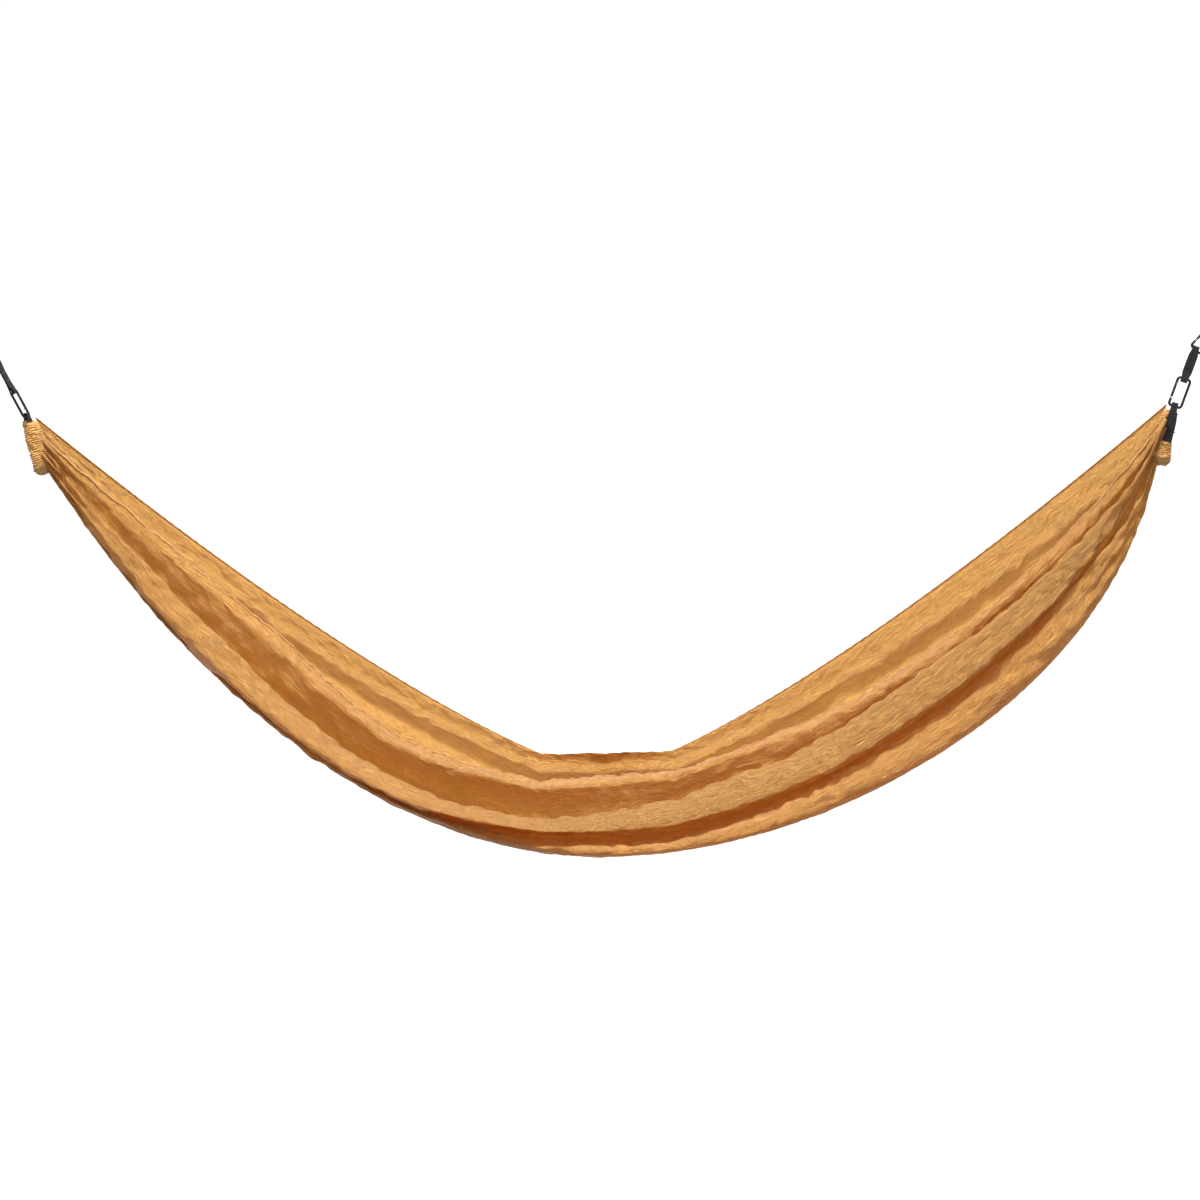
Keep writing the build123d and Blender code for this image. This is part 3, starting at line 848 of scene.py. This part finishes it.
# %% Tubes
def tube(path, section):
    """Vertices of a tube; section(i, angle) gives the two offsets from the path."""
    path = [Vector(p) for p in path]
    side = None
    vertices = []
    for i, point in enumerate(path):
        ahead = path[min(i + 1, len(path) - 1)] - path[max(i - 1, 0)]
        ahead.normalize()
        if side is None:
            side = ahead.cross(Vector((0, 0, 1)))
            if side.length < 0.1:
                side = ahead.cross(Vector((0, 1, 0)))
        side = (side - ahead * side.dot(ahead)).normalized()
        up = side.cross(ahead)
        for across, rise in section(i):
            vertices.append(point + side * across + up * rise)
    return vertices


def ring(count, across, rise):
    turns = [2 * math.pi * k / count for k in range(count)]
    return [(across * math.cos(a), rise * math.sin(a)) for a in turns]


def tube_faces(rings, sides, base=0):
    """Faces of a tube whose points start at base, with a cap at each end."""
    faces = grid_faces(rings, sides, closed=True)
    faces.append(tuple(reversed(range(sides))))
    faces.append(tuple(range((rings - 1) * sides, rings * sides)))
    return [tuple(base + corner for corner in face) for face in faces]


def tube_piece(name, path, count, across, rise, finish):
    vertices = tube(path, lambda i: ring(count, across, rise))
    reach = 0.0
    uvs = []
    for i in range(len(path)):
        if i:
            reach += (Vector(path[i]) - Vector(path[i - 1])).length
        uvs += [(reach, k / count * 2 * across) for k in range(count)]
    return new_piece(name, vertices, tube_faces(len(path), count), finish, uvs)


# %% [markdown]
# Both long edges are rolled twice and sewn with one row of stitches. The roll is a flattened
# tube on the cloth's edge, and each stitch is a short thread that dips at both ends.

# %% Hems
HEM_ACROSS = 0.0026
HEM_RISE = 0.0016
HEM_SIDES = 8
STITCH_PITCH = 0.0048
STITCH_RADIUS = 0.0004
STITCH_GAP = 0.12  # bare share at each end of a stitch
THREAD_SIDES = 5


def even_points(path, pitch):
    """Points at an even pitch along a path."""
    path = np.array(path)
    lengths = np.concatenate([[0], np.cumsum(np.linalg.norm(np.diff(path, axis=0), axis=1))])
    where = np.arange(0, lengths[-1], pitch)
    return np.stack([np.interp(where, lengths, path[:, k]) for k in range(3)], axis=1)


def stitches(name, path, lift, finish):
    """A row of separate stitches along a path."""
    spots = even_points(path, STITCH_PITCH)
    vertices, faces = [], []
    for a, b in zip(spots[:-1], spots[1:]):
        a, b = Vector(a), Vector(b)
        gap = (b - a) * STITCH_GAP
        ends = [a + gap, a + gap + lift, (a + b) / 2 + lift * 1.25, b - gap + lift, b - gap]
        faces += tube_faces(len(ends), THREAD_SIDES, len(vertices))
        vertices += tube(ends, lambda i: ring(THREAD_SIDES, STITCH_RADIUS, STITCH_RADIUS))
    return new_piece(name, vertices, faces, finish)


for edge, column in (("near", 0), ("far", -1)):
    line = bed_grid[:, column]
    roll = tube_piece(f"{edge}_hem_roll", line, HEM_SIDES, HEM_ACROSS, HEM_RISE, hem_nylon)
    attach(roll, "hammock")
    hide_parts(f"{edge}_hem")
    towards = Vector((0, -1, 0)) * HEM_RISE
    row = stitches(f"{edge}_hem_stitches", line, towards, amber_thread)
    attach(row, "hammock")
    print(edge, "hem", round(float(np.linalg.norm(np.diff(line, axis=0), axis=1).sum()), 3), "m")

# %% [markdown]
# A sling is one closed loop of webbing. It lies over the lower carabiner's rod, where it is
# squeezed narrower, turns level with the cloth's channel on the way down, and spreads to a
# round bottom. A station is a centre, the direction across the webbing, and its width there.

# %% Slings
SLING_RADIUS = 0.015
SLING_EYE = 0.0039
EYE_STRAIGHT = 0.0026
TWIST_END = 0.028
WEB_THICKNESS = 0.0018
SLING_WIDTH = 0.020
WEB_END_WIDTH = 0.0125
EYE_STEPS = 10
LEG_STEPS = 60
BEND_STEPS = 12
HALF_PROFILE = (  # share of the width, share of the thickness
    (-0.5, 0.0),
    (-0.485, 0.42),
    (-0.46, 0.56),
    (-0.43, 0.46),
    (-0.3, 0.44),
    (0.0, 0.44),
    (0.3, 0.44),
    (0.43, 0.46),
    (0.46, 0.56),
    (0.485, 0.42),
    (0.5, 0.0),
)


def sling_gap(depth):
    """Half the distance between the sling's legs at a depth below its rod."""
    share = (depth - EYE_STRAIGHT) / (SLING_LENGTH - SLING_RADIUS - EYE_STRAIGHT)
    return SLING_EYE + (SLING_RADIUS - SLING_EYE) * min(max(share, 0), 1)


def sling_station(side, leg, depth, gap):
    """Centre, width direction and width of the sling's webbing."""
    turned = eased((depth - EYE_STRAIGHT) / (TWIST_END - EYE_STRAIGHT))
    twist = math.radians(ROLL[side] * (1 - turned))
    level = inward(side, SLING_TILT)
    wide = level * math.cos(twist) + ACROSS * math.sin(twist)
    outward = ACROSS * math.cos(twist) - level * math.sin(twist)
    width = WEB_END_WIDTH + (SLING_WIDTH - WEB_END_WIDTH) * turned
    centre = sling_top(side) - slope(side, SLING_TILT) * depth + outward * leg * gap
    return centre, wide, width


def leg_line(side, leg, steps=LEG_STEPS, start=None):
    """Stations of one leg, from the top of the loop to the bottom."""
    stations = []
    if start is None:
        for k in range(EYE_STEPS):
            turn = math.pi / 2 * (1 - k / EYE_STEPS)
            depth = -EYE_STRAIGHT - SLING_EYE * math.sin(turn)
            stations.append(sling_station(side, leg, depth, SLING_EYE * math.cos(turn)))
        start = -EYE_STRAIGHT
    bottom = SLING_LENGTH - SLING_RADIUS
    for k in range(steps):
        depth = start + (bottom - start) * k / steps
        stations.append(sling_station(side, leg, depth, sling_gap(depth)))
    for k in range(BEND_STEPS + 1):
        turn = math.pi / 2 * k / BEND_STEPS
        depth = bottom + SLING_RADIUS * math.sin(turn)
        stations.append(sling_station(side, leg, depth, SLING_RADIUS * math.cos(turn)))
    return stations


def strip_frames(stations, closed):
    """Each station again, with its normal and the length of strip before it."""
    total = len(stations)
    reach = 0.0
    for i, (centre, wide, width) in enumerate(stations):
        before = stations[(i - 1) % total if closed else max(i - 1, 0)][0]
        after = stations[(i + 1) % total if closed else min(i + 1, total - 1)][0]
        normal = (after - before).normalized().cross(wide).normalized()
        reach += (centre - before).length if i else 0.0
        yield centre, wide, width, normal, reach


def webbing_loop(name, stations):
    """Closed strip with firmer rounded edges, through the stations."""
    profile = list(HALF_PROFILE)
    profile += [(x, -z) for x, z in reversed(profile[1:-1])]
    count = len(profile)
    vertices, uvs = [], []
    for centre, wide, width, normal, reach in strip_frames(stations, closed=True):
        for x, z in profile:
            vertices.append(centre + wide * (x * width) + normal * (z * WEB_THICKNESS))
            uvs.append((reach, x * width))
    faces = grid_faces(len(stations), count, closed=True)
    last = (len(stations) - 1) * count
    for j in range(count):
        k = (j + 1) % count
        faces.append((last + j, j, k, last + k))
    return new_piece(name, vertices, faces, black_webbing, uvs)


for side in SIDES:
    far_leg = leg_line(side, 1)
    near_leg = leg_line(side, -1)
    loop = far_leg + list(reversed(near_leg))[1:-1]
    sling = webbing_loop(f"{side}_sling_webbing", loop)
    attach(sling, "hammock")
    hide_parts(f"{side}_sling")

# %% [markdown]
# Each end of the cloth is a sewn channel, pushed together on its sling until the whole width
# of the cloth sits on a loop as long as a hand. It looks like a ruched sleeve: fine wrinkles
# go round it, no two the same. The sleeve follows the sling's loop, down the near leg, round
# the bottom and up the far leg. On the right the cloth has slid down the near leg, which
# leaves the webbing bare, and has bunched at the bottom.

# %% Ruched channels
CHANNEL_START = {
    "left": {"near": 0.012, "far": 0.006},
    "right": {"near": 0.068, "far": 0.010},
}
CHANNEL_ACROSS = 0.0155
CHANNEL_RISE = 0.0062
CHANNEL_SHIFT = 0.003
CHANNEL_SIDES = 44
CHANNEL_STEPS = 150
WRINKLE_PITCH = 0.0042
WRINKLE_SWELL = 0.075
FINE_SWELL = 0.16
LUMP_SWELL = 0.16
MOUTH_PINCH = 0.30
MOUTH_STEPS = 14
BUNCH_SWELL = {"left": 0.0, "right": 0.16}
BUNCH_STEPS = 60


def ruched(side):
    """The sleeve of wrinkled cloth round a sling's legs and bottom."""
    starts = CHANNEL_START[side]
    near_leg = leg_line(side, -1, CHANNEL_STEPS, starts["near"])
    far_leg = leg_line(side, 1, CHANNEL_STEPS, starts["far"])
    stations = near_leg + list(reversed(far_leg))[1:]
    total = len(stations)
    vertices, uvs = [], []
    for i, (centre, wide, width, normal, reach) in enumerate(strip_frames(stations, closed=False)):
        from_mouth = min(i, total - 1 - i) / MOUTH_STEPS
        mouth = 1.0 - MOUTH_PINCH * math.exp(-from_mouth)
        from_bottom = abs(i - len(near_leg)) / BUNCH_STEPS
        bunch = 1.0 + BUNCH_SWELL[side] * math.exp(-from_bottom * from_bottom)
        for k in range(CHANNEL_SIDES):
            turn = 2 * math.pi * k / CHANNEL_SIDES
            skew = 0.9 * wander(turn * 0.8, reach * 60, 3 + SIDES[side])
            wave = math.sin(2 * math.pi * reach / WRINKLE_PITCH + 3.2 * skew)
            fine = wander(reach * 520, math.cos(turn) * 2.2, math.sin(turn) * 2.2)
            lump = wander(reach * 70, math.cos(turn) * 1.5, 8 + math.sin(turn) * 1.5)
            rough = 1 + WRINKLE_SWELL * wave + FINE_SWELL * fine + LUMP_SWELL * lump
            swell = mouth * bunch * rough
            x = CHANNEL_ACROSS * math.cos(turn) * swell + CHANNEL_SHIFT
            z = CHANNEL_RISE * math.sin(turn) * (swell + 0.25 * fine)
            vertices.append(centre + wide * x + normal * z)
            uvs.append((turn * 0.01, reach))
    faces = grid_faces(total, CHANNEL_SIDES, closed=True)
    return new_piece(f"{side}_channel_cloth", vertices, faces, channel_nylon, uvs)


for side in SIDES:
    sleeve = ruched(side)
    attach(sleeve, "hammock")
    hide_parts(f"{side}_channel")
    print(side, "channel points", len(sleeve.data.vertices))

# %% [markdown]
# The strap between two carabiners is one length of webbing, folded back on itself at both
# ends and sewn flat in between, so it has an eye round each rod and two layers in the middle.
# When the bed rocks, its lower end turns with the bed while its upper end stays on the
# anchor. That is fabric across a joint; the strap is baked in place and attached to neither body.

# %% Straps
EYE_RADIUS = 0.0030
EYE_NECK = 0.017
STRAP_WIDTH = 0.018
LAYER_GAP = 0.00035
NECK_STEPS = 14
FACE_STEPS = 8
ZIGZAG_TURNS = 17
ZIGZAG_REACH = 0.0013
ZIGZAG_MARGIN = 0.0018
THREAD_RADIUS = 0.00032
THREAD_LIFT = 0.0003
STRAP_TACK_MARGIN = 0.003
SLING_TACKS = (0.0415, 0.0535)
BLEND_MARGIN = 0.006


def strap_stations(side):
    """The closed path of the webbing: up one face, round an eye, and down the other."""
    along = slope(side, STRAP_TILT[side])
    roll = math.radians(ROLL[side])
    wide = inward(side, STRAP_TILT[side]) * math.cos(roll) + ACROSS * math.sin(roll)
    out = wide.cross(along)
    top, bottom = strap_top(side), strap_bottom(side)
    radius = EYE_RADIUS + WEB_THICKNESS / 2
    half_gap = WEB_THICKNESS / 2 + LAYER_GAP / 2
    heights = []
    for k in range(BEND_STEPS + 1):
        turn = math.pi / 2 * k / BEND_STEPS
        heights.append((EYE_STRAIGHT + radius * math.cos(turn), radius * math.sin(turn)))
    for k in range(1, NECK_STEPS + 1):
        share = k / NECK_STEPS
        height = EYE_STRAIGHT - (EYE_NECK + EYE_STRAIGHT) * share
        heights.append((height, radius + (half_gap - radius) * eased(share)))
    half = STRAP_LENGTH / 2
    for k in range(1, FACE_STEPS + 1):
        heights.append((-EYE_NECK - (half - EYE_NECK) * k / FACE_STEPS, half_gap))
    lower = [(-STRAP_LENGTH - h, g) for h, g in reversed(heights[:-1])]
    face = heights + lower
    path = face + [(h, -g) for h, g in reversed(face[1:-1])]
    stations = []
    for height, gap in path:
        from_end = min(abs(height - EYE_STRAIGHT), abs(height + STRAP_LENGTH + EYE_STRAIGHT))
        inside = eased(from_end / EYE_NECK)
        width = WEB_END_WIDTH + (STRAP_WIDTH - WEB_END_WIDTH) * inside
        stations.append((top + along * height + out * gap, wide, width))
    return stations, top, bottom, along, wide, out


def zigzag(name, rows_at, half_width, along, wide, out):
    """Dense zigzag rows across the webbing; each row has a centre and a lift off it."""
    vertices, faces = [], []
    for centre, lift in rows_at:
        path = []
        for k in range(ZIGZAG_TURNS * 2 + 1):
            x = -half_width + 2 * half_width * k / (ZIGZAG_TURNS * 2)
            y = ZIGZAG_REACH if k % 2 else -ZIGZAG_REACH
            path.append(centre + wide * x + along * y + out * lift)
        faces += tube_faces(len(path), THREAD_SIDES, len(vertices))
        vertices += tube(path, lambda i: ring(THREAD_SIDES, THREAD_RADIUS, THREAD_RADIUS))
    return new_piece(name, vertices, faces, black_thread)


for side in SIDES:
    stations, top, bottom, along, wide, out = strap_stations(side)
    strap = webbing_loop(f"{side}_strap_webbing", stations)
    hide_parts(f"{side}_strap")
    blend_start = tuple(top - along * BLEND_MARGIN)
    tuple(bottom)
    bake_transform(strap)
    tacks = []
    face_height = WEB_THICKNESS + LAYER_GAP / 2
    for height in (-EYE_NECK - STRAP_TACK_MARGIN, -STRAP_LENGTH + EYE_NECK + STRAP_TACK_MARGIN):
        for face in (-1, 1):
            tacks.append((top + along * height, face * face_height))
    half_width = STRAP_WIDTH / 2 - ZIGZAG_MARGIN
    sewn = zigzag(f"{side}_strap_zigzag", tacks, half_width, along, wide, out)
    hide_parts(f"{side}_strap_bartacks")
    tuple(bottom)
    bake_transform(sewn)

    tacks = []
    for depth in SLING_TACKS:
        centre, level, width = sling_station(side, -1, depth, sling_gap(depth))
        tacks.append((centre, -(WEB_THICKNESS / 2 + THREAD_LIFT)))
    down = -slope(side, SLING_TILT)
    half_width = SLING_WIDTH / 2 - ZIGZAG_MARGIN
    sewn = zigzag(f"{side}_sling_zigzag", tacks, half_width, down, level, ACROSS)
    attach(sewn, "hammock")
    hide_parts(f"{side}_sling_bartacks")

# %% [markdown]
# The stage: a wide pale floor, a large soft light overhead and a weaker one in front. The
# surround is white above the horizon and dim below it, so that the undersides stay in shade.

# %% Stage and light
FLOOR_HEIGHT = -1.75
FLOOR_REACH = 60.0
FLOOR_CELLS = 4
FLOOR_GLOW = 0.30
LIGHTS = {  # place, from the hammock's middle; height it points at; size; power
    "key": ((-0.4, -0.95, 2.7), -0.55, 1.1, 245),
    "fill": ((1.2, -4.6, 0.2), -0.6, 2.4, 34),
}
SURROUND_STOPS = [
    (0.00, (0.14, 0.14, 0.14)),
    (0.43, (0.20, 0.20, 0.20)),
    (0.48, (1.02, 1.02, 1.02)),
]

vertices = []
for row in range(FLOOR_CELLS + 1):
    for column in range(FLOOR_CELLS + 1):
        x = MIDDLE + FLOOR_REACH * (2 * column / FLOOR_CELLS - 1)
        y = FLOOR_REACH * (2 * row / FLOOR_CELLS - 1)
        vertices.append((x, y, FLOOR_HEIGHT))
stage_finish = new_finish("pale_floor")
grain = stage_finish.cloud(stage_finish.place(), 2.0)
pale = stage_finish.blend(grain, colour(0.90, 0.90, 0.90), colour(0.93, 0.93, 0.93))
floor_shader = stage_finish.surface(
    Base_Color=pale,
    Roughness=grain * 0.1 + 0.85,
    Emission_Color=pale,
    Emission_Strength=FLOOR_GLOW,
)
floor_finish = stage_finish.done(floor_shader)
floor_faces = grid_faces(FLOOR_CELLS + 1, FLOOR_CELLS + 1)
floor = new_piece("floor", vertices, floor_faces, floor_finish)
floor.visible_diffuse = False
floor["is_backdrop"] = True


def soft_light(name, place, target, size, power):
    data = bpy.data.lights.new(name, "AREA")
    data.shape = "DISK"
    data.size = size
    data.energy = power
    lamp = bpy.data.objects.new(name, data)
    lamp.location = place
    lamp.rotation_euler = (Vector(target) - Vector(place)).to_track_quat("-Z", "Y").to_euler()
    bpy.context.scene.collection.objects.link(lamp)
    return lamp


for name, ((x, y, z), aim, size, power) in LIGHTS.items():
    soft_light(name, (MIDDLE + x, y, z), (MIDDLE, 0, aim), size, power)

surround = Finish(bpy.data.worlds.new("surround"))
rise = surround.node("SeparateXYZ", inputs={0: surround.place("Generated")}, output=2)
shade = surround.ramp(rise * 0.5 + 0.5, SURROUND_STOPS)
background = surround.node("Background", inputs={"Color": shade, "Strength": 1.0})
bpy.context.scene.world = surround.done(background, "World")
bpy.context.scene.view_settings.view_transform = "Standard"

# %% [markdown]
# The two boxes, of the imported model and of what is shown, are kept side by side.

# %% Finish
shown_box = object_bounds()
boxes = {
    "cad": [list(map(float, corner)) for corner in cad_box],
    "shown": [list(map(float, corner)) for corner in shown_box],
}
print("packed box", boxes["cad"])
print("shown box", boxes["shown"])
